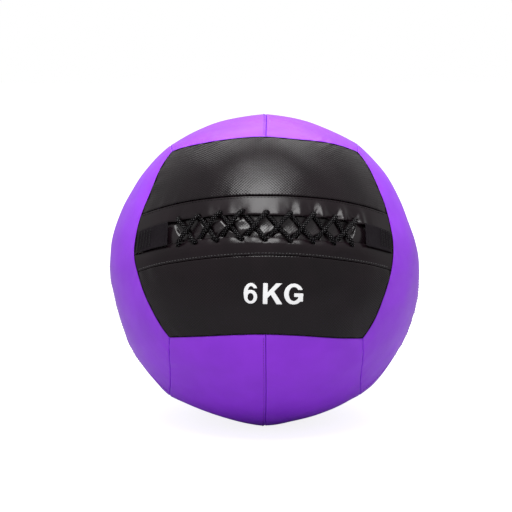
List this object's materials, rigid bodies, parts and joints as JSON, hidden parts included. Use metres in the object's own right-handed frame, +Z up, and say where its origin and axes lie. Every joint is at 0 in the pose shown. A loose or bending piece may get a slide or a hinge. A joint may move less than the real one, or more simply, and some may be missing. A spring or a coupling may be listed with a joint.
{
  "type": "wall ball",
  "caption": "Soft weighted ball with a sewn vinyl cover, black laced face, purple side panels and a padded, sand-cored filling, for throwing at a wall.",
  "frame": {"origin": "on the floor under the middle of the ball, where its flattened underside rests", "axes": "+Z up, -Y towards the viewer who looks at the laced face, +X to that viewer's right"},
  "size_m": [0.355, 0.3547, 0.3498],
  "materials": {
    "purple_vinyl": "satin purple vinyl leathercloth with a fine grain",
    "black_vinyl": "satin black vinyl leathercloth with a fine woven emboss",
    "glossy_black_vinyl": "smooth soft-gloss black vinyl",
    "webbing": "flat woven black webbing",
    "thread": "black bonded sewing thread",
    "lace_cord": "round braided black cord",
    "canvas": "plain-weave natural canvas",
    "bag_cord": "twisted natural cord",
    "foam": "open-cell white foam",
    "textile_stuffing": "matted shredded textile",
    "iron_sand": "dark dull sand"
  },
  "bodies": {
    "root": {"back_lower_foam": "foam", "back_lower_panel": "black_vinyl", "back_stuffing": "textile_stuffing", "back_upper_foam": "foam", "back_upper_panel": "black_vinyl", "bottom_left_foam": "foam", "bottom_left_panel": "purple_vinyl", "bottom_right_foam": "foam", "bottom_right_panel": "purple_vinyl", "core_bag": "canvas", "core_bag_tie": "bag_cord", "front_lower_foam": "foam", "front_lower_panel": "black_vinyl", "front_stuffing": "textile_stuffing", "front_upper_foam": "foam", "front_upper_panel": "black_vinyl", "inner_bag": "canvas", "inner_bag_drawcord": "bag_cord", "lace_cord_one": "lace_cord", "lace_cord_two": "lace_cord", "lace_tongue": "glossy_black_vinyl", "left_back_foam": "foam", "left_back_panel": "purple_vinyl", "left_end_tab": "webbing", "left_front_foam": "foam", "left_front_panel": "purple_vinyl", "left_tab_stitching": "thread", "lower_band_thread": "thread", "lower_band_webbing": "webbing", "lower_lace_band": "glossy_black_vinyl", "right_back_foam": "foam", "right_back_panel": "purple_vinyl", "right_end_tab": "webbing", "right_front_foam": "foam", "right_front_panel": "purple_vinyl", "right_tab_stitching": "thread", "sand_fill": "iron_sand", "top_left_foam": "foam", "top_left_panel": "purple_vinyl", "top_right_foam": "foam", "top_right_panel": "purple_vinyl", "upper_band_thread": "thread", "upper_band_webbing": "webbing", "upper_lace_band": "glossy_black_vinyl"}
  },
  "joints": []
}
